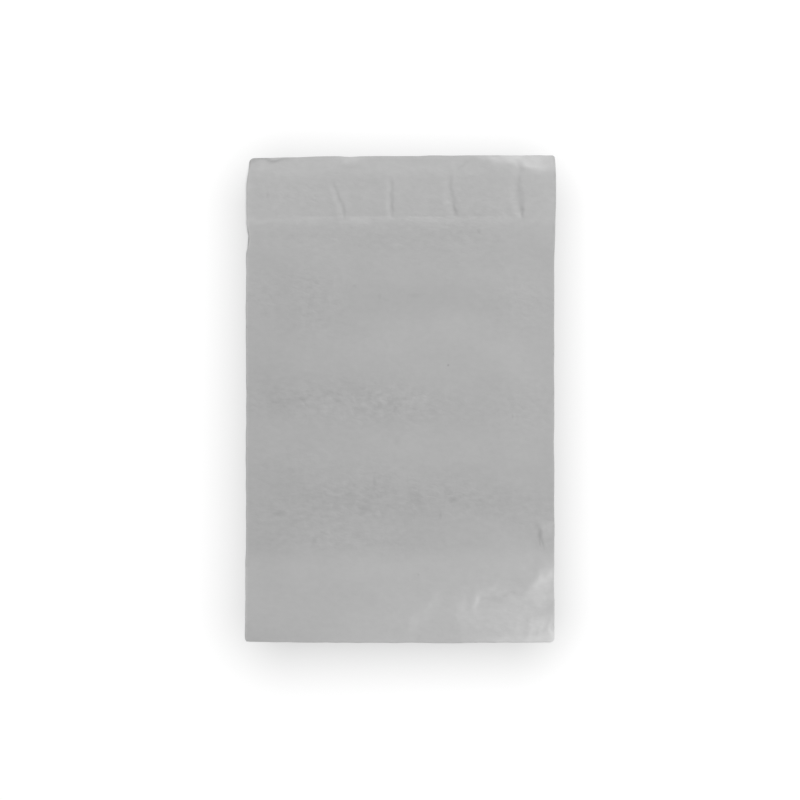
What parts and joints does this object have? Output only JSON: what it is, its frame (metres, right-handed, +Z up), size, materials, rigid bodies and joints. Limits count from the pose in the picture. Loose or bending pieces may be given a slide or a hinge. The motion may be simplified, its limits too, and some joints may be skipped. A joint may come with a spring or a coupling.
{
  "type": "poly mailer bag",
  "caption": "Empty flat film mailing bag with welded sides, a pocket open at the mouth, and an unsealed flap with its adhesive strip and release liner underneath.",
  "frame": {"origin": "under the middle of the bag, on the surface that it lies on", "axes": "+Z up, out of the plain back of the bag; +Y along the bag towards the free edge of the flap; X across the bag"},
  "size_m": [0.19, 0.3, 0.0018],
  "materials": {
    "grey_film": "satin",
    "clear_adhesive": "gloss",
    "white_liner": "satin"
  },
  "bodies": {
    "root": {"film_pouch": "grey_film", "adhesive_strip": "clear_adhesive", "release_liner": "white_liner"}
  },
  "joints": []
}
